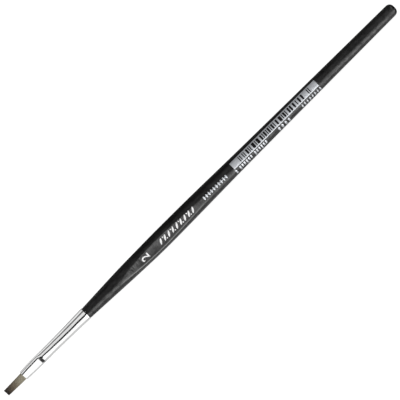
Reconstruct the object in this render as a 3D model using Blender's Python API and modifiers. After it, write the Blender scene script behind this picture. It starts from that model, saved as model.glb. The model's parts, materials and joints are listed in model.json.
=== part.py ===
"""A short-handled flat paint brush, lying on the lowest of the three grip flats of its handle.

Hair, ferrule and handle share one axis, with the hair towards -X and the tail towards +X.
Along that axis, x is measured from the ferrule's mouth. All lengths are in metres.
"""

import math

import bmesh
import bpy
from mathutils import Matrix, Vector

MM = 0.001

# Ferrule: a seamless tube, pressed flat at the hair and conical over the handle's tenon
PRESS_LENGTH = 7.4 * MM  # the flattened stretch, from the mouth to the shoulder
SHOULDER_LENGTH = 1.1 * MM  # where the flattened stretch turns back into the round cone
MOUTH_WIDTH = 3.33 * MM
MOUTH_THICKNESS = 1.46 * MM
PRESS_WIDTH = 3.82 * MM  # at the shoulder
PRESS_THICKNESS = 1.54 * MM
CONE_FRONT_DIAMETER = 3.12 * MM
CONE_BACK_DIAMETER = 4.10 * MM
CONE_FLARE = 1.1  # power of the cone's outline, 1 being straight
FERRULE_WALL = 0.22 * MM
HAIR_TURN = math.radians(75)  # the flat hair's width, turned about the axis from level

# Hair: a bundle of filaments, flat outside and tied round at its root
HAIR_OUT = 7.85 * MM
TIP_WIDTH = 2.50 * MM
TIP_THICKNESS = 0.5 * MM
TIP_ROUNDING = 0.16 * MM
ROOT_DIAMETER = 1.9 * MM
ROOT_TAPER = 1.9 * MM  # behind the shoulder, over which the bundle narrows to its tied root

# What holds the root and the tenon inside the ferrule
THREAD_DIAMETER = 0.18 * MM
THREAD_GAP = 0.03 * MM  # between neighbouring turns
THREAD_TURNS = 7
ROOT_IN_RESIN = 2.0 * MM
RESIN_BEHIND_ROOT = 1.6 * MM
RESIN_TO_TENON = 0.3 * MM
GLUE_THICKNESS = 0.12 * MM
GLUE_SETBACK = 0.8 * MM  # from each end of the tenon
FIT = 0.04 * MM  # clearance wherever one piece seats on another

# Handle: one turned spindle, from its tenon to its tail
TENON_LENGTH = 12.3 * MM
TENON_CHAMFER = 0.3 * MM
NECK_TO_SWELL = 23.8 * MM
SWELL_TO_BELLY = 11.8 * MM
BELLY_TO_WAIST = 37.2 * MM
WAIST_TO_TAIL = 66.1 * MM
SWELL_DIAMETER = 6.22 * MM
BELLY_DIAMETER = 6.64 * MM
WAIST_DIAMETER = 5.41 * MM
TAIL_DIAMETER = 4.29 * MM
TAIL_ROUNDING = 1.6 * MM
NECK_ROUNDING = 0.15 * MM  # round the shoulder that stops the ferrule
GRIP_FLATS = 3
GRIP_FLAT_DEPTH = 0.49 * MM  # milled off at the belly
GRIP_FLAT_TILT = math.radians(0.55)  # of each flat to the axis, closer to it at the neck

SIDES = 48  # facets round every turned or lofted piece

# Places along the axis
CONE_START = PRESS_LENGTH + SHOULDER_LENGTH
ROOT_START = CONE_START + ROOT_TAPER
THREAD_PITCH = THREAD_DIAMETER + THREAD_GAP
THREAD_START = ROOT_START + THREAD_DIAMETER / 2
THREAD_END = THREAD_START + THREAD_TURNS * THREAD_PITCH
RESIN_START = THREAD_END + THREAD_DIAMETER / 2 + FIT
ROOT_END = RESIN_START + ROOT_IN_RESIN
RESIN_END = ROOT_END + RESIN_BEHIND_ROOT
TENON_START = RESIN_END + RESIN_TO_TENON
FERRULE_END = TENON_START + TENON_LENGTH
CONE_LENGTH = FERRULE_END - CONE_START
NECK = FERRULE_END + FIT
BELLY = NECK + NECK_TO_SWELL + SWELL_TO_BELLY
TAIL = BELLY + BELLY_TO_WAIST + WAIST_TO_TAIL


def mix(a, b, share):
    return a + (b - a) * share


def steps(start, end, count):
    """count + 1 evenly spaced values, both ends included."""
    return [mix(start, end, i / count) for i in range(count + 1)]


# ---- Scene ----


def clear_scene():
    for obj in list(bpy.data.objects):
        bpy.data.objects.remove(obj)


def new_collection(name):
    collection = bpy.data.collections.new(name)
    bpy.context.scene.collection.children.link(collection)
    return collection


def new_axis(collection):
    """The empty that every piece hangs on. It tips the brush onto its lowest grip flat."""
    axis = bpy.data.objects.new("brush_axis", None)
    lift = grip_flat_distance() - BELLY * math.tan(GRIP_FLAT_TILT)
    level = math.cos(GRIP_FLAT_TILT)
    middle = (TAIL - HAIR_OUT) / 2
    axis.location = (-middle * level, 0, lift * level)
    axis.rotation_euler = (0, -GRIP_FLAT_TILT, 0)
    collection.objects.link(axis)
    return axis


def new_material(name, color, roughness, metallic=0.0):
    material = bpy.data.materials.new(name)
    material.use_nodes = True
    shader = material.node_tree.nodes["Principled BSDF"]
    shader.inputs["Base Color"].default_value = (*color, 1)
    shader.inputs["Roughness"].default_value = roughness
    shader.inputs["Metallic"].default_value = metallic
    return material


def add_piece(name, data, material, axis):
    piece = bpy.data.objects.new(name, data)
    data.materials.append(material)
    piece.parent = axis
    axis.users_collection[0].objects.link(piece)
    return piece


# ---- Turned and lofted shapes ----


def turned(name, profile, material, axis, closed=False):
    """Revolves (x, radius) points, given from the tail end towards the hair, about the axis."""
    mesh = bpy.data.meshes.new(name)
    count = len(profile)
    edges = [(i, (i + 1) % count) for i in range(count if closed else count - 1)]
    mesh.from_pydata([(radius, 0, x) for x, radius in profile], edges, [])
    piece = add_piece(name, mesh, material, axis)
    piece.rotation_euler = (0, math.pi / 2, 0)  # the lathe's Z becomes the brush's X
    lathe = piece.modifiers.new("lathe", "SCREW")
    lathe.axis = "Z"
    lathe.steps = lathe.render_steps = SIDES
    lathe.use_merge_vertices = True
    lathe.merge_threshold = 1e-6
    lathe.use_smooth_shade = True
    return piece


def section(x, width, thickness):
    """A ring of points at x: a slot shape with round ends, and a circle where both sizes are equal."""
    reach = (width - thickness) / 2
    ring = []
    for i in range(SIDES):
        angle = 2 * math.pi * i / SIDES
        across, up = math.cos(angle), math.sin(angle)
        end = round(across, 6) and math.copysign(1, across)  # 0 in the middle of a flat face
        ring.append(Vector((x, thickness / 2 * across + end * reach, thickness / 2 * up)))
    return ring


def lofted(name, rings, material, axis, tube=False):
    """A skin over rings of equally many points. A tube's last ring joins its first; else both ends are capped."""
    form = bmesh.new()
    turn = Matrix.Rotation(HAIR_TURN, 3, "X")
    loops = [[form.verts.new(turn @ point) for point in ring] for ring in rings]
    for i in range(len(loops) if tube else len(loops) - 1):
        here, there = loops[i], loops[(i + 1) % len(loops)]
        for j in range(SIDES):
            k = (j + 1) % SIDES
            form.faces.new((here[j], here[k], there[k], there[j]))
    if not tube:
        form.faces.new(loops[0])
        form.faces.new(loops[-1])
    bmesh.ops.recalc_face_normals(form, faces=form.faces)
    mesh = bpy.data.meshes.new(name)
    form.to_mesh(mesh)
    form.free()
    mesh.shade_smooth()
    mesh.set_sharp_from_angle(angle=math.radians(30))
    return add_piece(name, mesh, material, axis)


# ---- Ferrule ----


def ferrule_size(x):
    """The ferrule's outer width and thickness at x."""
    if x <= PRESS_LENGTH:
        share = x / PRESS_LENGTH
        flare = 1 - (1 - share) ** 2
        return mix(MOUTH_WIDTH, PRESS_WIDTH, flare), mix(MOUTH_THICKNESS, PRESS_THICKNESS, share)
    if x <= CONE_START:
        share = (x - PRESS_LENGTH) / SHOULDER_LENGTH
        width = mix(PRESS_WIDTH, CONE_FRONT_DIAMETER, share)
        return width, mix(PRESS_THICKNESS, CONE_FRONT_DIAMETER, share)
    share = (x - CONE_START) / CONE_LENGTH
    diameter = mix(CONE_FRONT_DIAMETER, CONE_BACK_DIAMETER, share**CONE_FLARE)
    return diameter, diameter


def bore_size(x, gap):
    """The width and thickness of what fits in the ferrule at x with this gap all round."""
    inset = 2 * (FERRULE_WALL + gap)
    width, thickness = ferrule_size(x)
    return width - inset, thickness - inset


def bore_radius(x, gap):
    return bore_size(x, gap)[0] / 2


def ferrule_places():
    """Where the ferrule has a ring: closest together at its shoulder."""
    press = steps(0, PRESS_LENGTH, 6)
    shoulder = steps(PRESS_LENGTH, CONE_START, 4)
    cone = steps(CONE_START, FERRULE_END, 9)
    return press + shoulder[1:] + cone[1:]


def add_ferrule(axis):
    nickel = new_material("nickel_plate", (0.72, 0.71, 0.69), 0.12, 1.0)
    outside = [section(x, *ferrule_size(x)) for x in ferrule_places()]
    inside = [section(x, *bore_size(x, 0)) for x in reversed(ferrule_places())]
    return lofted("ferrule", outside + inside, nickel, axis, tube=True)


# ---- Hair and what holds its root ----


def hair_size(x):
    """The bundle's width and thickness at x: free, then held by the press, then narrowing to its root."""
    if x < 0:
        width, thickness = bore_size(0, FIT)
        share = -x / HAIR_OUT
        return mix(width, TIP_WIDTH, share), mix(thickness, TIP_THICKNESS, share)
    if x > ROOT_START:
        return ROOT_DIAMETER, ROOT_DIAMETER
    width, thickness = bore_size(x, FIT)
    share = max(0, (x - PRESS_LENGTH) / (ROOT_START - PRESS_LENGTH))
    narrowed = share * share * (3 - 2 * share)
    return mix(width, ROOT_DIAMETER, narrowed), mix(thickness, ROOT_DIAMETER, narrowed)


def tip_rings():
    """The hair's square end, with a rounding all round it."""
    rings = []
    for angle in steps(0, math.pi / 2, 3):
        x = -HAIR_OUT + TIP_ROUNDING * (1 - math.cos(angle))
        inset = 2 * TIP_ROUNDING * (1 - math.sin(angle))
        width, thickness = hair_size(x)
        rings.append(section(x, width - inset, thickness - inset))
    return rings


def add_hair(axis):
    filament = new_material("filament", (0.11, 0.085, 0.065), 0.55)
    places = steps(TIP_ROUNDING - HAIR_OUT, 0, 5)[1:] + steps(0, PRESS_LENGTH, 4)[1:]
    places += steps(PRESS_LENGTH, CONE_START, 4)[1:] + steps(CONE_START, ROOT_START, 4)[1:]
    rings = tip_rings() + [section(x, *hair_size(x)) for x in places + [ROOT_END]]
    return lofted("hair_tuft", rings, filament, axis)


def add_binding(axis):
    """Thread wound round the root in one close layer."""
    points_per_turn = 14
    radius = ROOT_DIAMETER / 2 + FIT + THREAD_DIAMETER / 2
    count = THREAD_TURNS * points_per_turn
    curve = bpy.data.curves.new("root_binding", "CURVE")
    curve.dimensions = "3D"
    curve.bevel_depth = THREAD_DIAMETER / 2
    curve.bevel_resolution = 1
    curve.use_fill_caps = True
    spline = curve.splines.new("POLY")
    spline.points.add(count)
    for i, point in enumerate(spline.points):
        angle = 2 * math.pi * i / points_per_turn
        x = mix(THREAD_START, THREAD_END, i / count)
        point.co = (x, radius * math.cos(angle), radius * math.sin(angle), 1)
    thread = new_material("waxed_thread", (0.75, 0.7, 0.6), 0.8)
    return add_piece("root_binding", curve, thread, axis)


def add_resin(axis):
    """A cup-shaped plug of set resin, with the end of the root in its pocket."""
    pocket = ROOT_DIAMETER / 2 + FIT
    wall = [(x, bore_radius(x, FIT)) for x in steps(RESIN_END, RESIN_START, 3)]
    cup = [(RESIN_START, pocket), (ROOT_END + FIT, pocket), (ROOT_END + FIT, 0)]
    resin = new_material("set_resin", (0.62, 0.42, 0.16), 0.3)
    return turned("root_resin", [(RESIN_END, 0)] + wall + cup, resin, axis)


def add_glue(axis):
    """The sleeve of set glue between the tenon and the ferrule."""
    places = steps(FERRULE_END - GLUE_SETBACK, TENON_START + GLUE_SETBACK, 5)
    outside = [(x, bore_radius(x, FIT)) for x in places]
    inside = [(x, bore_radius(x, FIT + GLUE_THICKNESS)) for x in reversed(places)]
    glue = new_material("set_glue", (0.82, 0.76, 0.55), 0.4)
    return turned("tenon_glue", outside + inside, glue, axis, closed=True)


# ---- Handle ----


def handle_stations():
    """(x, radius) where the turned outline is set, from the neck to the tail."""
    spans = (NECK_TO_SWELL, SWELL_TO_BELLY, BELLY_TO_WAIST, WAIST_TO_TAIL)
    diameters = (CONE_BACK_DIAMETER, SWELL_DIAMETER, BELLY_DIAMETER, WAIST_DIAMETER, TAIL_DIAMETER)
    places = [NECK + sum(spans[:i]) for i in range(len(diameters))]
    return [(x, diameter / 2) for x, diameter in zip(places, diameters)]


def smooth_outline(stations, cuts):
    """A curve through the stations, with cuts points to a span and each slope set by its neighbours."""
    last = len(stations) - 1
    slopes = []
    for i in range(last + 1):
        (x0, r0), (x1, r1) = stations[max(i - 1, 0)], stations[min(i + 1, last)]
        slopes.append((r1 - r0) / (x1 - x0))
    outline = []
    for i in range(last):
        (x0, r0), (x1, r1) = stations[i], stations[i + 1]
        for t in steps(0, 1, cuts)[:-1]:
            ease = t * t * (3 - 2 * t)
            leaving = slopes[i] * t * (1 - t) ** 2
            arriving = slopes[i + 1] * t * t * (t - 1)
            outline.append((mix(x0, x1, t), mix(r0, r1, ease) + (x1 - x0) * (leaving + arriving)))
    return outline + [stations[-1]]


def tail_rounding():
    return min(TAIL_ROUNDING, 0.95 * TAIL_DIAMETER / 2)


def tail_end():
    """(x, radius) from the middle of the tail's end, round its edge, to its side."""
    rounding = tail_rounding()
    arc = []
    for angle in steps(math.pi / 2, 0, 6):
        x = TAIL - rounding * (1 - math.sin(angle))
        arc.append((x, TAIL_DIAMETER / 2 - rounding * (1 - math.cos(angle))))
    return [(TAIL, 0)] + arc


def neck_edge():
    """(x, radius) round the edge of the shoulder that stops the ferrule, from the handle's side."""
    arc = []
    for angle in steps(0, math.pi / 2, 3):
        x = NECK + NECK_ROUNDING * (1 - math.sin(angle))
        arc.append((x, CONE_BACK_DIAMETER / 2 - NECK_ROUNDING * (1 - math.cos(angle))))
    return arc


def tenon():
    """(x, radius) from the shoulder that stops the ferrule to the tenon's chamfered end."""
    side = [(x, bore_radius(x, 2 * FIT + GLUE_THICKNESS)) for x in steps(FERRULE_END, TENON_START, 6)]
    side[0] = (NECK, side[0][1])
    tip = side.pop()[1]
    chamfer = [(TENON_START + TENON_CHAMFER, tip), (TENON_START, tip - TENON_CHAMFER)]
    return side + chamfer + [(TENON_START, 0)]


def grip_flat_distance():
    """From the axis to each flat, at the belly."""
    return BELLY_DIAMETER / 2 - GRIP_FLAT_DEPTH


def add_grip_cutter(index, axis, cutters):
    """A block whose top face is one grip flat."""
    length = 2 * (NECK_TO_SWELL + SWELL_TO_BELLY)
    depth = BELLY_DIAMETER / 2
    bpy.ops.mesh.primitive_cube_add(size=1)
    cutter = bpy.context.object
    cutter.name = f"grip_cutter_{index + 1}"
    size = Matrix.Diagonal((length, BELLY_DIAMETER, depth, 1))
    cutter.data.transform(Matrix.Translation((0, 0, -depth / 2)) @ size)
    around = Matrix.Rotation(2 * math.pi * index / GRIP_FLATS, 4, "X")
    out = Matrix.Translation((BELLY, 0, -grip_flat_distance()))
    tilt = Matrix.Rotation(GRIP_FLAT_TILT, 4, "Y")
    cutter.parent = axis
    cutter.matrix_local = around @ out @ tilt
    cutter.hide_render = True
    cutter.display_type = "WIRE"
    for collection in cutter.users_collection:
        collection.objects.unlink(cutter)
    cutters.objects.link(cutter)
    return cutter


def add_handle(axis, cutters):
    outline = smooth_outline(handle_stations(), 6)
    start, end = NECK + NECK_ROUNDING, TAIL - tail_rounding()
    body = [point for point in reversed(outline) if start < point[0] < end]
    lacquer = new_material("black_lacquer", (0.012, 0.012, 0.013), 0.32)
    handle = turned("handle", tail_end() + body + neck_edge() + tenon(), lacquer, axis)
    for i in range(GRIP_FLATS):
        flat = handle.modifiers.new(f"grip_flat_{i + 1}", "BOOLEAN")
        flat.operation = "DIFFERENCE"
        flat.object = add_grip_cutter(i, axis, cutters)
    return handle


def main():
    clear_scene()
    pieces = new_collection("flat_paint_brush")
    cutters = new_collection("cutters")
    axis = new_axis(pieces)
    add_handle(axis, cutters)
    add_ferrule(axis)
    add_hair(axis)
    add_binding(axis)
    add_resin(axis)
    add_glue(axis)


main()
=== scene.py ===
import json
import math
import random

import bmesh
import bpy
from mathutils import Matrix, Vector
from mathutils.bvhtree import BVHTree


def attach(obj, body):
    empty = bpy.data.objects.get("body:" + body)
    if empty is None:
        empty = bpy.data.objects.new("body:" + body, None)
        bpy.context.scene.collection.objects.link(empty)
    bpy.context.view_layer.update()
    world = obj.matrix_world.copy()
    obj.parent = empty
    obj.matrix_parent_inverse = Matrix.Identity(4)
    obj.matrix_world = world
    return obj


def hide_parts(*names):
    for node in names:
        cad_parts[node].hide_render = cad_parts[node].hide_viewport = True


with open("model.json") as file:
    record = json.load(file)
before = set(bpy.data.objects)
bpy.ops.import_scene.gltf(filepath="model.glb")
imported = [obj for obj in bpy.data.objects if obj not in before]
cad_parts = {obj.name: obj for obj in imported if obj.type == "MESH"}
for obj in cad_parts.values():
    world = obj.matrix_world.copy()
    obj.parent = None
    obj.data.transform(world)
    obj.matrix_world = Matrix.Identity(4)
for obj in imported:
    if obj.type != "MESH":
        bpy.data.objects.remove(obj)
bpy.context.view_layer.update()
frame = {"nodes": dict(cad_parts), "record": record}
print("frame loaded:", ", ".join(sorted(frame["nodes"])))

mm = 0.001
dice = random.Random(11)
merge = 0.0005  # millimetres; points nearer to each other than this become one
noiseSpan = (0.3, 0.7)  # where most of a noise's values lie


# The brush's own axis: pieces are modelled in millimetres from the ferrule's mouth, tail towards +X

flatMounts = [mount for mount in frame["record"]["mounts"] if mount["kind"] == "flat_face"]
flatNormals = [Vector(mount["axis"]) for mount in flatMounts]
alongBrush = -sum(flatNormals, Vector()).normalized()  # all flats lean the same way, towards the neck
ringDepth = 0.03 * mm  # how near a node's end a point counts as part of its last ring


def endMiddle(node, side):
    # middle of a node's last ring: side is -1 towards the hair and 1 towards the tail
    points = [v.co for v in frame["nodes"][node].data.vertices]
    last = max(side * p.dot(alongBrush) for p in points)
    ring = [p for p in points if side * p.dot(alongBrush) > last - ringDepth]
    low = Vector(map(min, zip(*ring)))
    high = Vector(map(max, zip(*ring)))
    return (low + high) / 2


mouthMiddle = endMiddle("ferrule", -1)
sideways = Vector((0, 1, 0))
upwards = alongBrush.cross(sideways)
brushAxes = Matrix((alongBrush, sideways, upwards)).transposed().to_4x4()
brushPlace = Matrix.Translation(mouthMiddle) @ brushAxes @ Matrix.Scale(mm, 4)
ferruleEnd = (endMiddle("ferrule", 1) - mouthMiddle).length / mm
tailEnd = (endMiddle("handle", 1) - mouthMiddle).length / mm
hairEnd = (endMiddle("hair_tuft", -1) - mouthMiddle).length / mm


def mix(a, b, share):
    return a + (b - a) * share


def held(value, low=0, high=1):
    return min(high, max(low, value))


def steps(start, end, count):
    return [mix(start, end, i / count) for i in range(count + 1)]


def linkPiece(name, bm, material):
    mesh = bpy.data.meshes.new(name)
    bm.to_mesh(mesh)
    bm.free()
    mesh.materials.append(material)
    piece = bpy.data.objects.new(name, mesh)
    bpy.context.scene.collection.objects.link(piece)
    return piece


def finishPiece(name, bm, material, sharpAngle=35):
    # to its place on the brush, with the faces pointing out
    bmesh.ops.recalc_face_normals(bm, faces=bm.faces[:])
    bm.transform(brushPlace)
    piece = linkPiece(name, bm, material)
    piece.data.shade_smooth()
    piece.data.set_sharp_from_angle(angle=math.radians(sharpAngle))
    return piece


def meshFromCurve(curve):
    # the faces of a curve or a text
    holder = bpy.data.objects.new(curve.name, curve)
    bpy.context.scene.collection.objects.link(holder)
    evaluated = holder.evaluated_get(bpy.context.evaluated_depsgraph_get())
    bm = bmesh.new()
    bm.from_mesh(evaluated.to_mesh())
    evaluated.to_mesh_clear()
    bpy.data.objects.remove(holder)
    return bm


# Materials

def newMaterial(name):
    material = bpy.data.materials.new(name)
    material.use_nodes = True
    nodes = material.node_tree.nodes
    return material, nodes, material.node_tree.links, nodes["Principled BSDF"]


def brushCoordinates(nodes, links, stretch):
    # object coordinates turned onto the brush's axis, then stretched by a scale per metre
    coords = nodes.new("ShaderNodeTexCoord")
    turn = nodes.new("ShaderNodeMapping")
    turn.vector_type = "TEXTURE"
    turn.inputs["Location"].default_value = mouthMiddle
    turn.inputs["Rotation"].default_value = brushAxes.to_euler()
    links.new(coords.outputs["Object"], turn.inputs["Vector"])
    scale = nodes.new("ShaderNodeMapping")
    scale.inputs["Scale"].default_value = stretch
    links.new(turn.outputs["Vector"], scale.inputs["Vector"])
    return scale.outputs["Vector"]


def noiseOn(nodes, links, stretch, detail=3.0, roughness=0.55):
    noise = nodes.new("ShaderNodeTexNoise")
    noise.inputs["Scale"].default_value = 1.0
    noise.inputs["Detail"].default_value = detail
    noise.inputs["Roughness"].default_value = roughness
    links.new(brushCoordinates(nodes, links, stretch), noise.inputs["Vector"])
    return noise.outputs["Fac"]


def greys(stops):
    return [(place, (tone, tone, tone)) for place, tone in stops]


def rampOn(nodes, links, fac, stops):
    ramp = nodes.new("ShaderNodeValToRGB")
    elements = ramp.color_ramp.elements
    while len(elements) < len(stops):
        elements.new(0.5)
    for element, (place, color) in zip(elements, stops):
        element.position = place
        element.color = (*color, 1)
    links.new(fac, ramp.inputs["Fac"])
    return ramp.outputs["Color"]


def rangeOn(nodes, links, fac, low, high, fromLow=0.0, fromHigh=1.0):
    spread = nodes.new("ShaderNodeMapRange")
    spread.inputs["From Min"].default_value = fromLow
    spread.inputs["From Max"].default_value = fromHigh
    spread.inputs["To Min"].default_value = low
    spread.inputs["To Max"].default_value = high
    links.new(fac, spread.inputs["Value"])
    return spread.outputs["Result"]


def attributeOn(nodes, name):
    attribute = nodes.new("ShaderNodeAttribute")
    attribute.attribute_name = name
    return attribute.outputs["Fac"]


def mixOn(nodes, links, fac, first, second, target=None):
    # from the first to the second, a socket or a fixed value, as fac goes from 0 to 1
    blend = nodes.new("ShaderNodeMix")
    blend.data_type = "RGBA" if isinstance(second, tuple) else "FLOAT"
    sockets = [socket for socket in blend.inputs if socket.enabled]
    links.new(fac, sockets[0])
    links.new(first, sockets[1])
    if isinstance(second, bpy.types.NodeSocket):
        links.new(second, sockets[2])
    else:
        sockets[2].default_value = second
    result = next(socket for socket in blend.outputs if socket.enabled)
    if target:
        links.new(result, target)
    return result


def timesOn(nodes, links, first, second):
    product = nodes.new("ShaderNodeMix")
    product.data_type = "RGBA"
    product.blend_type = "MULTIPLY"
    product.inputs["Factor"].default_value = 1.0
    links.new(first, product.inputs["A"])
    links.new(second, product.inputs["B"])
    return product.outputs["Result"]


def bumpOn(nodes, links, shader, heights):
    # heights: (height socket, depth in millimetres), one bump on top of the other
    normal = None
    for height, depth in heights:
        bump = nodes.new("ShaderNodeBump")
        bump.inputs["Strength"].default_value = 1.0
        bump.inputs["Distance"].default_value = depth * mm
        links.new(height, bump.inputs["Height"])
        if normal:
            links.new(normal, bump.inputs["Normal"])
        normal = bump.outputs["Normal"]
    links.new(normal, shader.inputs["Normal"])


lacquer = {
    "color": (0.0014, 0.0014, 0.0016),
    "wornColor": (0.0048, 0.0045, 0.0042),
    "specular": (0.16, 0.37),
    "roughness": (0.32, 0.46),
    "peelDepth": 0.006,  # orange peel of the sprayed coat
    "grainDepth": 0.004,  # wood grain that shows through
    "smearDepth": 0.007,  # longer waves from handling and dipping
    "edgeHighlightColor": (0.016, 0.0157, 0.0154),  # painted highlight: a lighter colour along one edge of each flat, where the lacquer is also glossier
    "edgeRoughness": 0.22,
    "edgeSpecular": 0.68,
    "scuffSpecular": (0.08, 0.42),  # over the marks that milling left on the flats
    "noises": {  # scale per metre along and across the brush, detail, roughness
        "clouds": ((140, 420, 420), 4),
        "grain": ((90, 2600, 2600), 4, 0.65),
        "peel": ((1100, 1500, 1500), 2),
        "smears": ((330, 900, 900), 3),
        "mottle": ((520, 900, 900), 5, 0.7),
        "scuffs": ((1500, 380, 380), 4, 0.7),
    },
    "grainSpan": (0.35, 0.75),  # the noise's values at which a setting's two ends are reached
    "mottleSpan": (0.36, 0.64),
    "scuffSpan": (0.38, 0.62),
}


def makeLacquer():
    material, nodes, links, shader = newMaterial("blackLacquer")
    noises = {name: noiseOn(nodes, links, *settings) for name, settings in lacquer["noises"].items()}
    tones = zip(lacquer["grainSpan"], (lacquer["color"], lacquer["wornColor"]))
    color = rampOn(nodes, links, noises["grain"], list(tones))
    roughness = rangeOn(nodes, links, noises["clouds"], *lacquer["roughness"], *noiseSpan)
    gloss = rangeOn(nodes, links, noises["mottle"], *lacquer["specular"], *lacquer["mottleSpan"])
    scuffed = rangeOn(nodes, links, noises["scuffs"], *lacquer["scuffSpecular"], *lacquer["scuffSpan"])
    # edge: one edge of each flat gets a painted highlight in its colour, and glossier lacquer
    edge, flat = attributeOn(nodes, "edge"), attributeOn(nodes, "flat")
    surface = mixOn(nodes, links, flat, gloss, scuffed)
    mixOn(nodes, links, edge, surface, lacquer["edgeSpecular"], shader.inputs["Specular IOR Level"])
    mixOn(nodes, links, edge, color, (*lacquer["edgeHighlightColor"], 1), shader.inputs["Base Color"])
    mixOn(nodes, links, edge, roughness, lacquer["edgeRoughness"], shader.inputs["Roughness"])
    bumpOn(nodes, links, shader, [(noises["smears"], lacquer["smearDepth"]),
                                  (noises["grain"], lacquer["grainDepth"]),
                                  (noises["peel"], lacquer["peelDepth"])])
    return material


nickel = {
    "color": (0.90, 0.90, 0.895),
    "dullColor": (0.80, 0.80, 0.80),
    "darkReflectionColor": (0.045, 0.045, 0.045),  # painted dark reflection, nearly black, on the shoulder's flat facet
    "roughness": (0.08, 0.14),
    "clouds": ((260, 500, 500), 4),  # scale per metre along and across the brush, detail
    "lines": ((120, 9000, 9000), 3),
    "waves": ((330, 330, 330), 0),
    "toneSpan": (0.3, 0.6),  # the clouds' values at the two colours
    "roughSpan": (0.7, 0.3),  # and at the two ends of the roughness
    "lineDepth": 0.0006,  # faint lines left by drawing the tube
    "waveDepth": 0.08,  # slow waves in the drawn tube
}


def makeNickel():
    material, nodes, links, shader = newMaterial("nickelPlate")
    clouds = noiseOn(nodes, links, *nickel["clouds"])
    lines = noiseOn(nodes, links, *nickel["lines"])
    waves = noiseOn(nodes, links, *nickel["waves"])
    tones = zip(nickel["toneSpan"], (nickel["dullColor"], nickel["color"]))
    color = rampOn(nodes, links, clouds, list(tones))
    # painted dark reflection: the shoulder's flat facet is coloured nearly black
    mixOn(nodes, links, attributeOn(nodes, "darkReflection"), color, (*nickel["darkReflectionColor"], 1),
          shader.inputs["Base Color"])
    shader.inputs["Metallic"].default_value = 1.0
    roughness = rangeOn(nodes, links, clouds, *nickel["roughness"], *nickel["roughSpan"])
    links.new(roughness, shader.inputs["Roughness"])
    bumpOn(nodes, links, shader, [(lines, nickel["lineDepth"]), (waves, nickel["waveDepth"])])
    return material


filament = {
    "dye": (  # share of the way from the tips to the mouth, and the colour there
        (0.05, (0.0160, 0.0102, 0.0080)),
        (0.40, (0.170, 0.126, 0.079)),
        (0.80, (0.372, 0.334, 0.240)),
    ),
    "streaks": ((70, 11000, 11000), 2),  # scale per metre along and across the brush, detail
    "streakTones": ((0.3, 0.72), (0.7, 1.0)),
    "wander": (-0.9, 0.9, 0.25, 0.75),  # how far the dye moves along the brush, over these streak values
    "shadedSide": (0, 0.731, 0.682),  # the side of the bundle that is painted darker, as painted shade
    "shadeOver": (-1.2, 1.0),  # from and to, in millimetres towards that side
    "shadeTones": ((0, 1.0), (0.5, 0.9), (0.68, 0.88), (0.93, 0.62)),
    "roughness": 0.42,
    "specular": 0.35,
}


def makeFilament():
    material, nodes, links, shader = newMaterial("dyedFilament")
    coordinates = brushCoordinates(nodes, links, (1 / mm, 1 / mm, 1 / mm))
    along = nodes.new("ShaderNodeSeparateXYZ")
    links.new(coordinates, along.inputs["Vector"])
    streaks = noiseOn(nodes, links, *filament["streaks"])
    wander = rangeOn(nodes, links, streaks, *filament["wander"])
    place = nodes.new("ShaderNodeMath")
    place.operation = "ADD"
    links.new(along.outputs["X"], place.inputs[0])
    links.new(wander, place.inputs[1])
    share = rangeOn(nodes, links, place.outputs["Value"], 0, 1, -hairEnd, 0)
    dye = rampOn(nodes, links, share, filament["dye"])
    tones = rampOn(nodes, links, streaks, greys(filament["streakTones"]))
    # painted shade: the bundle's colour is darker towards one side
    across = nodes.new("ShaderNodeVectorMath")
    across.operation = "DOT_PRODUCT"
    links.new(coordinates, across.inputs[0])
    across.inputs[1].default_value = filament["shadedSide"]
    side = rangeOn(nodes, links, across.outputs["Value"], 0, 1, *filament["shadeOver"])
    sides = rampOn(nodes, links, side, greys(filament["shadeTones"]))
    color = timesOn(nodes, links, timesOn(nodes, links, dye, tones), sides)
    links.new(color, shader.inputs["Base Color"])
    shader.inputs["Roughness"].default_value = filament["roughness"]
    shader.inputs["Specular IOR Level"].default_value = filament["specular"]
    return material


def makePlain(name, light, dark, roughness, stretch, depth, metallic=0.0, specular=0.5):
    # a two-toned, slightly uneven finish for inks and for what the ferrule hides
    material, nodes, links, shader = newMaterial(name)
    tone = noiseOn(nodes, links, stretch, 4)
    color = rampOn(nodes, links, tone, list(zip(noiseSpan, (dark, light))))
    links.new(color, shader.inputs["Base Color"])
    links.new(rangeOn(nodes, links, tone, *roughness, *noiseSpan), shader.inputs["Roughness"])
    shader.inputs["Metallic"].default_value = metallic
    shader.inputs["Specular IOR Level"].default_value = specular
    bumpOn(nodes, links, shader, [(tone, depth)])
    return material


inks = {
    "silverInk": {"light": (0.405, 0.418, 0.438), "dark": (0.335, 0.348, 0.368),
                  "roughness": (0.42, 0.55), "metallic": 0.42},
    "blackInk": {"light": (0.0022, 0.0022, 0.0024), "dark": (0.0012, 0.0012, 0.0013),
                 "roughness": (0.6, 0.75), "specular": 0.1},
    "whiteInk": {"light": (0.90, 0.90, 0.90), "dark": (0.78, 0.78, 0.79), "roughness": (0.40, 0.55)},
}
inkGrain = {"stretch": (2400, 3000, 3000), "depth": 0.002}

lacquerMaterial = makeLacquer()
nickelMaterial = makeNickel()
filamentMaterial = makeFilament()
silverInk, blackInk, whiteInk = (makePlain(name, **look, **inkGrain) for name, look in inks.items())
print("materials made")


# Handle: turned from a profile, then milled flat on three sides at the grip

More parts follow.
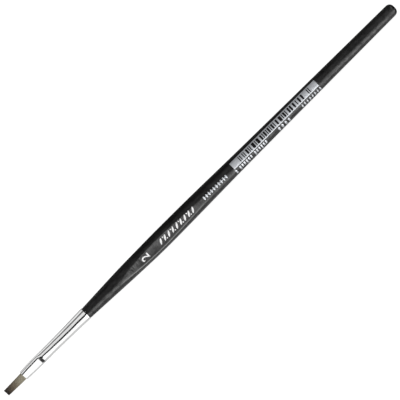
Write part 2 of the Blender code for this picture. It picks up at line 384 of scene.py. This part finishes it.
handle = {
    "stations": [  # place from the neck, diameter
        (0, 4.10), (23.8, 6.22), (35.6, 6.64), (72.8, 5.41), (138.9, 4.29)],
    "neckGap": 0.04,
    "cuts": 40,  # points between two stations
    "tailCuts": 24,
    "neckCuts": 8,
    "tenonCuts": 8,
    "endRing": 6,  # the ring on the tail's end is this many times smaller than the tail
    "sides": 264,
    "tailRounding": 1.6,
    "neckRounding": 0.15,
    "tenonLength": 12.3,
    "tenonSlack": 0.59,  # between the tenon and the ferrule's outside, on the radius
    "tenonChamfer": 0.3,
    "flats": 3,
    "flatDepth": 0.49,
    "flatTilt": 0.55,  # degrees
    "flatFront": 52.5,  # where the two flats off the table start to run out towards the hair
    "flatRise": 0.0175,  # the slope at which they do
    "flatBlend": 0.12,  # how softly a flat runs into the turned surface
    "edgeReach": 0.13,  # of the polish and painted highlight, as a height beside the flat's edge
    "edgeFade": 0.6,  # share of the edge's polish and painted highlight that fades behind the belly, over this span
    "edgeFadeSpan": 12,
    "scuffsFrom": 58,  # towards the hair from here, over the fade, the flats are scuffed
    "scuffsFade": 8,
    "leastScuffed": 0.15,
    "flatHollow": 0.24,  # share by which the cutter went deeper in a flat's middle
}
neck = ferruleEnd + handle["neckGap"]
belly = neck + handle["stations"][2][0]
bellyRadius = handle["stations"][2][1] / 2


def handleOutline():
    # (x, radius) from the neck to the tail, smooth through the stations
    stations = [(neck + x, d / 2) for x, d in handle["stations"]]
    last = len(stations) - 1
    slopes = []
    for i in range(last + 1):
        before, after = stations[max(i - 1, 0)], stations[min(i + 1, last)]
        slopes.append((after[1] - before[1]) / (after[0] - before[0]))
    outline = []
    for i in range(last):
        (x0, r0), (x1, r1) = stations[i], stations[i + 1]
        for t in steps(0, 1, handle["cuts"])[:-1]:
            ease = t * t * (3 - 2 * t)
            bend = slopes[i] * t * (1 - t) ** 2 + slopes[i + 1] * t * t * (t - 1)
            outline.append((mix(x0, x1, t), mix(r0, r1, ease) + (x1 - x0) * bend))
    return outline + [stations[-1]]


def tailOutline():
    # round the tail's edge to the middle of its end
    rounding, radius = handle["tailRounding"], handle["stations"][-1][1] / 2
    arc = []
    for angle in steps(0, math.pi / 2, handle["tailCuts"]):
        x = tailEnd - rounding * (1 - math.sin(angle))
        arc.append((x, radius - rounding * (1 - math.cos(angle))))
    return arc + [(tailEnd, radius / handle["endRing"]), (tailEnd, 0)]


def tenonOutline():
    # from the middle of the tenon's end to its foot, then up and round the neck's edge
    start = neck - handle["tenonLength"]
    places = steps(start, neck, handle["tenonCuts"])
    side = [(x, ferruleSize(x)[0] / 2 - handle["tenonSlack"]) for x in places]
    chamfer = handle["tenonChamfer"]
    tip = side.pop(0)[1]
    foot = side.pop()[1]
    rounding, edge = handle["neckRounding"], handle["stations"][0][1] / 2
    arc = []
    for angle in steps(math.pi / 2, 0, handle["neckCuts"]):
        x = neck + rounding * (1 - math.sin(angle))
        arc.append((x, edge - rounding * (1 - math.cos(angle))))
    return [(start, 0), (start, tip - chamfer), (start + chamfer, tip), *side, (neck, foot), *arc]


def flatsAt(point):
    # each flat's outward normal, its distance from the axis, and how far the point stands proud of it
    tilt = math.tan(math.radians(handle["flatTilt"]))
    distance = bellyRadius - handle["flatDepth"] + (point.x - belly) * tilt
    rise = max(0, handle["flatFront"] - point.x) * handle["flatRise"]
    for i in range(handle["flats"]):
        out = Matrix.Rotation(math.radians(360 * i / handle["flats"]), 3, "X") @ Vector((0, 0, -1))
        away = distance + (rise if i else 0)
        yield out, away, point.dot(out) - away


def milled(point):
    # a point of the turned handle, pushed in where it stands proud of a flat
    moved = point.copy()
    blend = handle["flatBlend"]
    for out, _, proud in flatsAt(point):
        proud *= 1 + handle["flatHollow"]
        moved -= out * (proud + math.sqrt(proud * proud + blend * blend)) / 2
    return moved


def flatShares(point):
    # how much a point of the turned handle has of the polish and painted highlight, on one edge of a
    # flat, and of the scuffs
    radius = math.hypot(point.y, point.z)
    edge = scuffed = 0
    for out, distance, proud in flatsAt(point):
        depth = held((radius - distance) / handle["flatDepth"])
        # only one edge of each flat carries the polish and painted highlight
        if out.cross(point).x > 0:
            edge = max(edge, math.sqrt(depth) * math.exp(-(proud / handle["edgeReach"]) ** 2))
        scuffed = max(scuffed, held(proud / handle["flatBlend"]))
    edge *= 1 - handle["edgeFade"] * held((point.x - belly) / handle["edgeFadeSpan"])
    toFront = (handle["scuffsFrom"] - point.x) / handle["scuffsFade"]
    return edge, scuffed * held(toFront, handle["leastScuffed"])


# Ferrule: a tube that is pressed flat at the hair and round over the handle's tenon

ferrule = {
    "press": 7.2,
    "shoulder": 1.22,
    "mouth": (3.46, 2.0),  # width and thickness
    "pressEnd": (3.96, 1.86),
    "coneFront": (3.74, 3.10),
    "coneBack": 4.44,
    "coneFlare": 1.25,
    "roundBy": 12,  # behind the shoulder, where nothing of the pressing is left
    "wall": 0.24,
    "hairTurn": 72.5,  # degrees, of the mouth's width about the axis from level
    "sides": 128,
    "cuts": (34, 14, 58),  # rings along the pressed stretch, the shoulder and the cone
    "rimAngle": 75,  # degrees; sharper edges than this are the rims
    "rimRounding": 0.05,
    "facet": (1.14, 1.42),  # half the width of the painted dark reflection on the shoulder's flat facet, at its ends
    "facetPower": 8,  # how sharply the facet ends to its sides
    "facetSlope": 12,  # and to its front and back
    "foldRounding": 0.08,  # along the tube, on each side of a fold
}
hairTurn = Matrix.Rotation(math.radians(ferrule["hairTurn"]), 3, "X")


def ferruleSize(x):
    press, start = ferrule["press"], ferrule["press"] + ferrule["shoulder"]
    if x <= press:
        share = x / press
        flare = 1 - (1 - share) ** 2
        return (mix(ferrule["mouth"][0], ferrule["pressEnd"][0], flare),
                mix(ferrule["mouth"][1], ferrule["pressEnd"][1], share))
    if x <= start:
        share = (x - press) / ferrule["shoulder"]
        return tuple(mix(a, b, share) for a, b in zip(ferrule["pressEnd"], ferrule["coneFront"]))
    share = (x - start) / (ferruleEnd - start)
    width, thickness = ferrule["coneFront"]
    across = mix((width + thickness) / 2, ferrule["coneBack"], share ** ferrule["coneFlare"])
    oval = (width - thickness) / 2 * max(0, 1 - (x - start) / ferrule["roundBy"]) ** 2
    return across + oval, across - oval


def shapeRing(ring, x, width, thickness):
    # a slot with round ends, and a circle where both sizes are equal
    for i, vert in enumerate(ring):
        angle = 2 * math.pi * i / len(ring)
        across, up = math.cos(angle), math.sin(angle)
        end = round(across, 6) and math.copysign(1, across)
        reach = end * (width - thickness) / 2
        vert.co = hairTurn @ Vector((x, across * thickness / 2 + reach, up * thickness / 2))


def loftRings(bm, sizes, sides):
    # a skin through rings of (x, width, thickness); returns its first and last ring
    first = bmesh.ops.create_circle(bm, segments=sides, radius=1)["verts"]
    shapeRing(first, *sizes[0])
    ring = first
    for size in sizes[1:]:
        edges = [bm.edges.get((ring[i - 1], ring[i])) for i in range(sides)]
        made = bmesh.ops.extrude_edge_only(bm, edges=edges)["geom"]
        fresh = {v for v in made if isinstance(v, bmesh.types.BMVert)}
        nextRing = []
        for vert in ring:
            others = [edge.other_vert(vert) for edge in vert.link_edges]
            nextRing.append(next(other for other in others if other in fresh))
        shapeRing(nextRing, *size)
        ring = nextRing
    return first, ring


def makeFerrule():
    press, start = ferrule["press"], ferrule["press"] + ferrule["shoulder"]
    fold, rim = ferrule["foldRounding"], 2 * ferrule["rimRounding"]
    pressCuts, shoulderCuts, coneCuts = ferrule["cuts"]
    places = [0] + steps(rim, press - fold, pressCuts) + steps(press + fold, start - fold, shoulderCuts)
    places += steps(start + fold, ferruleEnd - rim, coneCuts) + [ferruleEnd]
    bm = bmesh.new()
    darkReflection = bm.verts.layers.float.new("darkReflection")
    loftRings(bm, [(x, *ferruleSize(x)) for x in places], ferrule["sides"])
    bmesh.ops.recalc_face_normals(bm, faces=bm.faces[:])
    bmesh.ops.solidify(bm, geom=bm.faces[:], thickness=ferrule["wall"])
    sharp = math.radians(ferrule["rimAngle"])
    rims = [e for e in bm.edges if e.is_manifold and e.calc_face_angle(0) > sharp]
    bmesh.ops.bevel(bm, geom=rims, offset=ferrule["rimRounding"], offset_type="OFFSET", affect="EDGES",
                    segments=3, profile=0.5, material=-1)
    # painted dark reflection: a mask over the shoulder's flat facet, stored on the points
    wide, slope = hairTurn @ Vector((0, 1, 0)), ferrule["facetSlope"]
    for vert in bm.verts:
        into = (vert.co.x - press) / ferrule["shoulder"]
        if 0 <= into <= 1:
            reach = mix(*ferrule["facet"], into)
            onFacet = max(0.0, 1.0 - (abs(vert.co.dot(wide)) / reach) ** ferrule["facetPower"])
            vert[darkReflection] = onFacet * min(1.0, slope * into, slope * (1.0 - into))
    return finishPiece("ferruleTube", bm, nickelMaterial)


def makeHandle():
    bm = bmesh.new()
    start, end = neck + handle["neckRounding"], tailEnd - handle["tailRounding"]
    body = [(x, r) for x, r in handleOutline() if start < x < end]
    profile = [bm.verts.new((x, 0, r)) for x, r in tenonOutline() + body + tailOutline()]
    edges = [bm.edges.new(pair) for pair in zip(profile, profile[1:])]
    bmesh.ops.spin(bm, geom=profile + edges, cent=(0, 0, 0), axis=(1, 0, 0), angle=math.tau,
                   steps=handle["sides"], use_merge=True)
    bmesh.ops.remove_doubles(bm, verts=bm.verts[:], dist=merge)
    # edge marks the polish and painted highlight along one edge of each flat
    edge, flat = bm.verts.layers.float.new("edge"), bm.verts.layers.float.new("flat")
    for vert in bm.verts:
        if vert.co.x > neck:
            vert[edge], vert[flat] = flatShares(vert.co)
            vert.co = milled(vert.co)
    bmesh.ops.recalc_face_normals(bm, faces=bm.faces[:])
    skin = BVHTree.FromBMesh(bm)
    return finishPiece("handleSpindle", bm, lacquerMaterial), skin


ferruleTube = makeFerrule()
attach(ferruleTube, "root")
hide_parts("ferrule")
print("ferrule:", len(ferruleTube.data.polygons), "faces")

handleSpindle, handleSkin = makeHandle()
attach(handleSpindle, "root")
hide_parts("handle")
print("handle:", len(handleSpindle.data.polygons), "faces")


# Marks printed on the handle: a size numeral, plain ornaments and a panel of bars that say nothing

marks = {
    "facing": 133,  # degrees about the axis from level at the back, the side that the marks face
    "lift": 0.014,  # how far the ink stands up
    "sunk": 0.02,  # how deep its underside lies in the lacquer
    "cutAcross": 0.12,  # the largest face that follows the round handle
    "cutAlong": 2.0,
}
facing = math.radians(marks["facing"])
marksOut = Vector((0, math.cos(facing), math.sin(facing)))
marksAcross = Vector((0, -math.sin(facing), math.cos(facing)))


def flatShape(bm, points):
    bmesh.ops.contextual_create(bm, geom=[bm.verts.new((x, y, 0)) for x, y in points])


def cutUp(bm, axis, size):
    low, high = min(v.co[axis] for v in bm.verts), max(v.co[axis] for v in bm.verts)
    normal = [0, 0, 0]
    normal[axis] = 1
    for place in steps(low, high, math.ceil((high - low) / size))[1:-1]:
        everything = bm.verts[:] + bm.edges[:] + bm.faces[:]
        spot = [place * n for n in normal]
        bmesh.ops.bisect_plane(bm, geom=everything, plane_co=spot, plane_no=normal)


def printMarks(name, bm, ink, lift=marks["lift"]):
    # flat shapes, x along the brush and y across it, laid on the handle and given a thickness
    bmesh.ops.remove_doubles(bm, verts=bm.verts[:], dist=merge)
    bmesh.ops.triangulate(bm, faces=bm.faces[:])
    cutUp(bm, 0, marks["cutAlong"])
    cutUp(bm, 1, marks["cutAcross"])
    made = bmesh.ops.extrude_face_region(bm, geom=bm.faces[:], use_keep_orig=True)["geom"]
    top = {v for v in made if isinstance(v, bmesh.types.BMVert)}
    for vert in bm.verts:
        above = Vector((vert.co.x, 0, 0)) + marksAcross * vert.co.y + marksOut * 2 * bellyRadius
        spot, normal, _, _ = handleSkin.ray_cast(above, -marksOut)
        vert.co = spot + normal * (lift if vert in top else -marks["sunk"])
    piece = finishPiece(name, bm, ink)
    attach(piece, "root")
    return piece


def lozenge(bm, x, y, along, across):
    flatShape(bm, [(x - along / 2, y), (x, y - across / 2), (x + along / 2, y), (x, y + across / 2)])


def oval(bm, x, y, along, across):
    turns = steps(0, math.tau, 20)[:-1]
    flatShape(bm, [(x + along / 2 * math.cos(a), y + across / 2 * math.sin(a)) for a in turns])


numeral = {"figure": "2", "middle": (54.45, 0.70), "height": 2.92, "width": 1.66, "weight": 0.012}


def makeNumeral():
    # its top points to the hair
    text = bpy.data.curves.new("numeral", "FONT")
    text.body = numeral["figure"]
    text.offset = numeral["weight"]
    bm = meshFromCurve(text)
    low = Vector(map(min, zip(*[v.co for v in bm.verts])))
    high = Vector(map(max, zip(*[v.co for v in bm.verts])))
    size, middle = high - low, (high + low) / 2
    for vert in bm.verts:
        right = (vert.co.x - middle.x) / size.x * numeral["width"]
        up = (vert.co.y - middle.y) / size.y * numeral["height"]
        vert.co = (numeral["middle"][0] - up, numeral["middle"][1] - right, 0)
    return printMarks("inkNumeral", bm, whiteInk)


leaves = {
    "span": (61.6, 75.9),
    "middle": 0.56,
    "count": 9,
    "leaf": (2.2, 0.66),  # length and width
    "cuts": 12,
    "bluntness": 0.7,  # power of the leaf's outline, 1 being a sine
    "lean": -58,  # degrees from the brush's axis
    "berry": 0.42,
    "berryOut": 0.62,  # from the middle line
}


def makeLeaves():
    # a band of slanted leaves with a berry between each two
    bm = bmesh.new()
    length, width = leaves["leaf"]
    lean = math.radians(leaves["lean"])
    places = steps(*leaves["span"], leaves["count"] - 1)
    edge = []
    for share in steps(0, 1, leaves["cuts"]):
        bulge = math.sin(math.pi * share) ** leaves["bluntness"]
        edge.append((length * (share - 0.5), width / 2 * bulge))
    edge += [(a, -b) for a, b in edge[-2:0:-1]]
    for i, x in enumerate(places):
        flatShape(bm, [(x + a * math.cos(lean) - b * math.sin(lean),
                        leaves["middle"] + a * math.sin(lean) + b * math.cos(lean)) for a, b in edge])
        if i:
            side = leaves["berryOut"] * (-1) ** i
            along = (places[i - 1] + x) / 2 + side / math.tan(lean)
            oval(bm, along, leaves["middle"] + side, leaves["berry"], leaves["berry"])
    return printMarks("inkLeaves", bm, whiteInk)


border = {"span": (81.1, 90.9), "middle": 0.53, "count": 10, "size": (0.58, 1.28), "dot": (0.26, 0.44)}


def makeBorder():
    # a row of upright ovals with a small lozenge between each two
    bm = bmesh.new()
    pitch = (border["span"][1] - border["span"][0]) / (border["count"] - 1)
    for i in range(border["count"]):
        x = border["span"][0] + pitch * i
        oval(bm, x, border["middle"], *border["size"])
        if i:
            lozenge(bm, x - pitch / 2, border["middle"], *border["dot"])
    return printMarks("inkBorder", bm, silverInk)


panel = {
    "span": (94.42, 132.38),
    "across": (-1.60, 0.84),
    "barsStart": 97.65,
    "barAcross": (-1.25, 0.52),
    "barLift": 0.05,
    "module": 0.333,
    "modules": 95,
    "bars": (1, 1, 2, 2, 3),  # widths to choose from, in modules
    "gaps": (1, 1, 1, 2, 2),
    "ends": [1, 1, 1],  # two thin bars at each end, with a gap between them
    "firstGap": 2,
    "lastRoom": 8,  # modules kept free for the last gap and the thin bars
}


def makePanel():
    # the silver ground that the bars stand on
    bm = bmesh.new()
    (left, right), (upper, lower) = panel["span"], panel["across"]
    flatShape(bm, [(left, upper), (right, upper), (right, lower), (left, lower)])
    return printMarks("inkPanel", bm, silverInk)


def makeBars():
    # bars and gaps of chance widths between the thin pairs at the two ends
    chance = random.Random(4)
    widths = panel["ends"] + [panel["firstGap"]]
    while sum(widths) < panel["modules"] - panel["lastRoom"]:
        widths += [chance.choice(panel["bars"]), chance.choice(panel["gaps"])]
    widths[-1] += panel["modules"] - len(panel["ends"]) - sum(widths)
    widths += panel["ends"]
    bm = bmesh.new()
    upper, lower = panel["barAcross"]
    for i in range(0, len(widths), 2):
        left = panel["barsStart"] + panel["module"] * sum(widths[:i])
        right = left + panel["module"] * widths[i]
        flatShape(bm, [(left, upper), (right, upper), (right, lower), (left, lower)])
    return printMarks("inkBars", bm, blackInk, panel["barLift"])


scale = {
    "top": 1.19,
    "groups": ((94.5, 1), (96.3, 6), (102.95, 6)),  # start and number of ticks
    "pitch": 0.98,
    "tick": 0.52,
    "short": 0.95,
    "long": 1.25,
    "every": 3,
    "ovalSpan": (113.8, 118.1),
    "ovals": 4,
    "lozengeSpan": (124.2, 132.1),
    "lozenges": 8,
    "mark": (0.68, 1.22),  # of an oval or a lozenge, along and across
}


def makeScale():
    # below the panel: ticks, then ovals, then lozenges
    bm = bmesh.new()
    half = scale["tick"] / 2
    for start, count in scale["groups"]:
        for i in range(count):
            x, top = start + scale["pitch"] * i, scale["top"]
            foot = top + (scale["short"] if i % scale["every"] else scale["long"])
            flatShape(bm, [(x - half, top), (x + half, top), (x + half, foot), (x - half, foot)])
    along, across = scale["mark"]
    middle = scale["top"] + across / 2
    for x in steps(*scale["ovalSpan"], scale["ovals"] - 1):
        oval(bm, x, middle, along, across)
    for x in steps(*scale["lozengeSpan"], scale["lozenges"] - 1):
        lozenge(bm, x, middle, along, across)
    return printMarks("inkScale", bm, silverInk)


for piece in (makeNumeral(), makeLeaves(), makeBorder(), makePanel(), makeBars(), makeScale()):
    print(piece.name + ":", len(piece.data.polygons), "faces")


# Hair: tapered filaments round a slim core of the same material

hair = {
    "tip": (2.56, 0.56),  # width and thickness of the bundle's square end
    "rootDepth": 1.6,  # how far the filaments run into the ferrule
    "slack": 0.04,  # between the hair and the ferrule's bore
    "roundness": 0.999,  # of the bundle's narrow ends, 1 being a half circle
    "coreInset": 2.2,  # how much slimmer the core is than the bundle, in radii of a filament
    "coreShort": 0.5,  # how far it ends before the tips
    "coreThinnest": 0.12,
    "coreCuts": 24,
    "coreSides": 64,
    "columns": 31,
    "rows": 9,
    "filled": (0.985, 0.95),  # share of the width and thickness that the filaments reach
    "scatter": (0.012, 0.05),  # how far chance moves a filament across the bundle
    "rootRadius": 0.056,
    "tipRadius": 0.031,
    "endTaper": 0.75,  # of the last point, against the tip's radius
    "points": 9,
    "uneven": 0.04,  # how much shorter the shortest filament is
    "lean": (-0.085, -0.08),  # how far the free hair lies to the front and down
    "waver": 0.02,
    "waves": 4,  # radians of the wavering over the free hair
}


def hairSize(x):
    # the bundle's width and thickness at x
    width, thickness = ferruleSize(max(x, 0))
    inset = 2 * (ferrule["wall"] + hair["slack"])
    share = max(0, -x / hairEnd)
    return mix(width - inset, hair["tip"][0], share), mix(thickness - inset, hair["tip"][1], share)


def hairLean(x):
    share = held((hair["rootDepth"] - x) / (2 * hair["rootDepth"]))
    return Vector((0, *hair["lean"])) * share


def bundlePoint(x, across, up):
    # across and up run from -1 to 1 over the bundle; the round ends pull its corners in
    width, thickness = hairSize(x)
    reach = (width - thickness) / 2
    half = reach + thickness / 2 * math.sqrt(1 - up * up * hair["roundness"])
    return hairTurn @ Vector((x, across * half, up * thickness / 2)) + hairLean(x)


def makeHairCore():
    bm = bmesh.new()
    inset = hair["coreInset"] * hair["rootRadius"]
    sizes = []
    for x in steps(-hairEnd + hair["coreShort"], hair["rootDepth"], hair["coreCuts"]):
        width, thickness = hairSize(x)
        sizes.append((x, width - inset, max(thickness - inset, hair["coreThinnest"])))
    for ring in loftRings(bm, sizes, hair["coreSides"]):
        bmesh.ops.contextual_create(bm, geom=ring)
    for vert in bm.verts:
        vert.co += hairLean(vert.co.x)
    return finishPiece("hairCore", bm, filamentMaterial)


def makeFilaments():
    curve = bpy.data.curves.new("filaments", "CURVE")
    curve.dimensions = "3D"
    curve.bevel_depth = 1.0
    curve.bevel_resolution = 0
    curve.use_fill_caps = True
    (wideFilled, thickFilled), (wideScatter, thickScatter) = hair["filled"], hair["scatter"]
    for row in range(hair["rows"]):
        for column in range(hair["columns"]):
            across = 2 * (column + 0.5 * (row % 2)) / (hair["columns"] - 0.5) - 1
            up = 2 * row / (hair["rows"] - 1) - 1
            across = wideFilled * held(across + dice.uniform(-wideScatter, wideScatter), -1)
            up = thickFilled * held(up + dice.uniform(-thickScatter, thickScatter), -1)
            end = -hairEnd + hair["uneven"] * dice.random() ** 2
            drift = dice.uniform(-1, 1) * hair["waver"]
            phase = dice.uniform(0, math.tau)
            spline = curve.splines.new("POLY")
            spline.points.add(hair["points"] - 1)
            for i, x in enumerate(steps(hair["rootDepth"], end, hair["points"] - 1)):
                share = max(0, -x / hairEnd)
                point = bundlePoint(x, across, up)
                sway = share * hair["waver"] * math.sin(phase + hair["waves"] * share)
                point += Vector((0, sway, drift * share * (1 - share)))
                taper = mix(hair["rootRadius"], hair["tipRadius"], share)
                room = 1 - taper / max(hairSize(x)) * 2
                spline.points[i].co = (point.x, point.y * room, point.z * room, 1)
                spline.points[i].radius = taper * (hair["endTaper"] if i == hair["points"] - 1 else 1)
    bm = meshFromCurve(curve)
    bmesh.ops.remove_doubles(bm, verts=bm.verts[:], dist=merge)
    return finishPiece("hairFilaments", bm, filamentMaterial, 60)


hairCore = makeHairCore()
hairFilaments = makeFilaments()
for piece in (hairCore, hairFilaments):
    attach(piece, "root")
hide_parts("hair_tuft")
print("hair:", len(hairFilaments.data.polygons), "faces")


# Inside the ferrule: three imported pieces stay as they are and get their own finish

hidden = {
    "root_binding": {"name": "waxedThread", "light": (0.78, 0.72, 0.60), "dark": (0.60, 0.53, 0.42),
                     "roughness": (0.65, 0.85), "stretch": (9000, 9000, 9000), "depth": 0.01},
    "root_resin": {"name": "setResin", "light": (0.64, 0.43, 0.16), "dark": (0.50, 0.30, 0.09),
                   "roughness": (0.2, 0.35), "stretch": (1500, 1500, 1500), "depth": 0.01},
    "tenon_glue": {"name": "setGlue", "light": (0.82, 0.76, 0.55), "dark": (0.70, 0.63, 0.43),
                   "roughness": (0.35, 0.5), "stretch": (2500, 2500, 2500), "depth": 0.01},
}
for node, look in hidden.items():
    finish = makePlain(**look)
    for slot in frame["nodes"][node].material_slots:
        slot.material = finish
print("inside the ferrule:", len(hidden), "pieces finished")


# Floor, world, lights and camera

studio = {
    "floorColor": (0.34, 0.34, 0.34),
    "floorGlow": 0.88,  # added for the camera and for reflections, so that the open floor is white
    "worldSeen": 0.75,  # in reflections
    "worldLight": 0.38,  # on matt surfaces
    "floorSize": 3,
    "floorDrop": 0.02,  # millimetres below the brush
    "keyPower": 3.1,
    "keySize": 0.6,
    "keyPlace": (-0.2, -0.42, 0.55),
}


def seenOnly(nodes, links):
    # 1 for the camera, reflections and what is seen through glass, else 0
    path = nodes.new("ShaderNodeLightPath")
    total = path.outputs["Is Camera Ray"]
    for name in ("Is Glossy Ray", "Is Transmission Ray"):
        add = nodes.new("ShaderNodeMath")
        add.operation = "ADD"
        add.use_clamp = True
        links.new(total, add.inputs[0])
        links.new(path.outputs[name], add.inputs[1])
        total = add.outputs["Value"]
    return total


def makeFloor():
    material, nodes, links, shader = newMaterial("paleFloor")
    shader.inputs["Base Color"].default_value = (*studio["floorColor"], 1)
    shader.inputs["Roughness"].default_value = 1.0
    shader.inputs["Specular IOR Level"].default_value = 0.0
    shader.inputs["Emission Color"].default_value = (1, 1, 1, 1)
    glow = rangeOn(nodes, links, seenOnly(nodes, links), 0, studio["floorGlow"])
    links.new(glow, shader.inputs["Emission Strength"])
    bm = bmesh.new()
    bmesh.ops.create_grid(bm, x_segments=1, y_segments=1, size=studio["floorSize"])
    bmesh.ops.translate(bm, verts=bm.verts[:], vec=(0, 0, -studio["floorDrop"] * mm))
    floor = linkPiece("floor", bm, material)


def makeWorld():
    world = bpy.data.worlds.new("studio")
    bpy.context.scene.world = world
    world.use_nodes = True
    nodes, links = world.node_tree.nodes, world.node_tree.links
    background = nodes["Background"]
    background.inputs["Color"].default_value = (1, 1, 1, 1)
    path = nodes.new("ShaderNodeLightPath")
    seen = rangeOn(nodes, links, seenOnly(nodes, links), studio["worldLight"], studio["worldSeen"])
    strength = nodes.new("ShaderNodeMath")
    strength.operation = "MAXIMUM"
    links.new(path.outputs["Is Camera Ray"], strength.inputs[0])
    links.new(seen, strength.inputs[1])
    links.new(strength.outputs["Value"], background.inputs["Strength"])


def makeKey():
    light = bpy.data.lights.new("softKey", "AREA")
    light.shape = "RECTANGLE"
    light.size = light.size_y = studio["keySize"]
    light.energy = studio["keyPower"]
    lamp = bpy.data.objects.new("softKey", light)
    bpy.context.scene.collection.objects.link(lamp)
    lamp.location = studio["keyPlace"]
    lamp.rotation_euler = (-lamp.location).to_track_quat("-Z", "Y").to_euler()
    lamp.visible_camera = False
    lamp.visible_glossy = False


def makeCard(name, corners, strength):
    # a card that only reflections see; its corners are in metres
    material = bpy.data.materials.new(name)
    material.use_nodes = True
    nodes, links = material.node_tree.nodes, material.node_tree.links
    nodes.remove(nodes["Principled BSDF"])
    glow = nodes.new("ShaderNodeEmission")
    glow.inputs["Strength"].default_value = strength
    links.new(glow.outputs["Emission"], nodes["Material Output"].inputs["Surface"])
    bm = bmesh.new()
    bmesh.ops.contextual_create(bm, geom=[bm.verts.new(corner) for corner in corners])
    card = linkPiece(name, bm, material)
    card.visible_camera = False
    card.visible_diffuse = False
    card.visible_transmission = False
    card.visible_shadow = False


def around(elevation, distance):
    # (y, z) at an elevation seen from the brush: 0 is level in front, 90 overhead
    angle = math.radians(elevation)
    return -distance * math.cos(angle), distance * math.sin(angle)


def onTable(y):
    return y, tableHeight


# Metres from here on. Of the cards above the brush, the close ones are for the ferrule
tableHeight = 0.1 * mm  # how high the cards on the floor lie
footFront = -0.0052  # where those at the ferrule begin, in front of it
closeBy, midway, farOff = 0.02, 0.14, 0.2  # from the brush's line
cardsEnd = 0.4  # to both sides
hairSide = -0.3
mouthSide = -0.083
ferruleSide = -0.0518  # the cards on the floor under the ferrule end here
nearEnd = -0.0534  # and those close in front, above and behind it here
handleSide = -0.062
tailSide = 0.0885
tailWall = 0.2  # where the upright cards past the tail stand
tailReach = 0.3  # how far they go to both sides

frontCards = {"start": -0.4, "end": 0.13, "distance": 0.16, "foot": -0.0095}
left, right, frontFar = frontCards["start"], frontCards["end"], frontCards["distance"]
lowLeft, lowRight = (left, *around(3, frontFar)), (right, *around(8, frontFar))
highLeft, highRight = (left, *around(22, frontFar)), (right, *around(27, frontFar))
frontFoot = onTable(frontCards["foot"])

# Long cards parallel to the brush: name, their two long edges, start, end, brightness
strips = [
    ("frontFlag", around(28, farOff), around(52, farOff), -cardsEnd, cardsEnd, 0.0),
    ("ferruleCard", onTable(footFront), around(29, closeBy), hairSide, nearEnd, 1.15),
    ("ferruleFlag", around(29, closeBy), around(56, closeBy), hairSide, nearEnd, 0.01),
    ("pressFlag", around(25, 0.0085), around(54, 0.0085), -0.0811, -0.0719, 0.01),
    ("ferruleTop", around(58, closeBy), around(94, closeBy), mouthSide, nearEnd, 0.86),
    ("ferruleDark", around(95, closeBy), around(116, closeBy), hairSide, nearEnd, 0.15),
    ("ferruleBack", around(119, closeBy), around(145, closeBy), mouthSide, nearEnd, 0.95),
    ("ferruleLow", around(150, closeBy), around(177, closeBy), mouthSide, nearEnd, 0.52),
    ("handleFlag", around(100, midway), around(150, midway), handleSide, cardsEnd, 0.08),
    ("rimFlag", around(150, midway), around(179, midway), handleSide, 0, 0.1),
    ("tailRimFlag", around(150, midway), around(179, midway), 0, cardsEnd, 0.28),
    ("handleFloorFlag", onTable(0.05), onTable(0.14), handleSide, cardsEnd, 0.1),
    ("backFlag", around(104, farOff), around(128, farOff), -cardsEnd, cardsEnd, 0.18),
    ("footShade", onTable(footFront), onTable(-0.0009), hairSide, ferruleSide, 0.66),
    ("ferruleShade", onTable(-0.0009), onTable(0.05), hairSide, ferruleSide, 0.12),
    ("contactShade", onTable(-0.0026), onTable(0.0035), ferruleSide, tailSide, 0.6),
    ("backShade", onTable(0.0035), onTable(0.05), ferruleSide, tailSide, 0.1),
    ("tailFloorFlag", onTable(-0.006), onTable(tailReach), tailSide, tailWall, 0.0),
]
# Upright cards past the tail: name, bottom, top, brightness
tailCards = [("tailFlag", 0, 0.075, 0.0), ("tailGlow", 0.075, 0.2, 3.6)]

makeFloor()
makeWorld()
makeKey()
makeCard("lowCard", [(left, *frontFoot), (right, *frontFoot), lowRight, lowLeft], 7.0)
makeCard("highCard", [lowLeft, lowRight, highRight, highLeft], 3.3)
for name, near, far, start, end, strength in strips:
    makeCard(name, [(start, *near), (end, *near), (end, *far), (start, *far)], strength)
for name, bottom, top, strength in tailCards:
    makeCard(name, [(tailWall, -tailReach, bottom), (tailWall, tailReach, bottom),
                    (tailWall, tailReach, top), (tailWall, -tailReach, top)], strength)

camera = {
    "elevation": 47.0,
    "roll": 44.46,
    "lens": 200,
    "sensor": 36,
    "frameWidth": 0.128,  # across the view, at the brush
    "aim": (0.000035, 0.000064, 0.002958),
}


def makeCamera():
    angle = math.radians(camera["elevation"])
    back = Vector((0, -math.cos(angle), math.sin(angle)))
    level = Vector((1, 0, 0))
    climb = back.cross(level)
    roll = math.radians(camera["roll"])
    right = level * math.cos(roll) - climb * math.sin(roll)
    up = level * math.sin(roll) + climb * math.cos(roll)
    data = bpy.data.cameras.new("camera")
    data.lens, data.sensor_width = camera["lens"], camera["sensor"]
    holder = bpy.data.objects.new("camera", data)
    bpy.context.scene.collection.objects.link(holder)
    distance = camera["frameWidth"] * camera["lens"] / camera["sensor"]
    place = Matrix((right, up, back)).transposed().to_4x4()
    place.translation = Vector(camera["aim"]) + back * distance
    holder.matrix_world = place
    bpy.context.scene.camera = holder


makeCamera()
bpy.context.scene.view_settings.view_transform = "Standard"
print("studio ready")
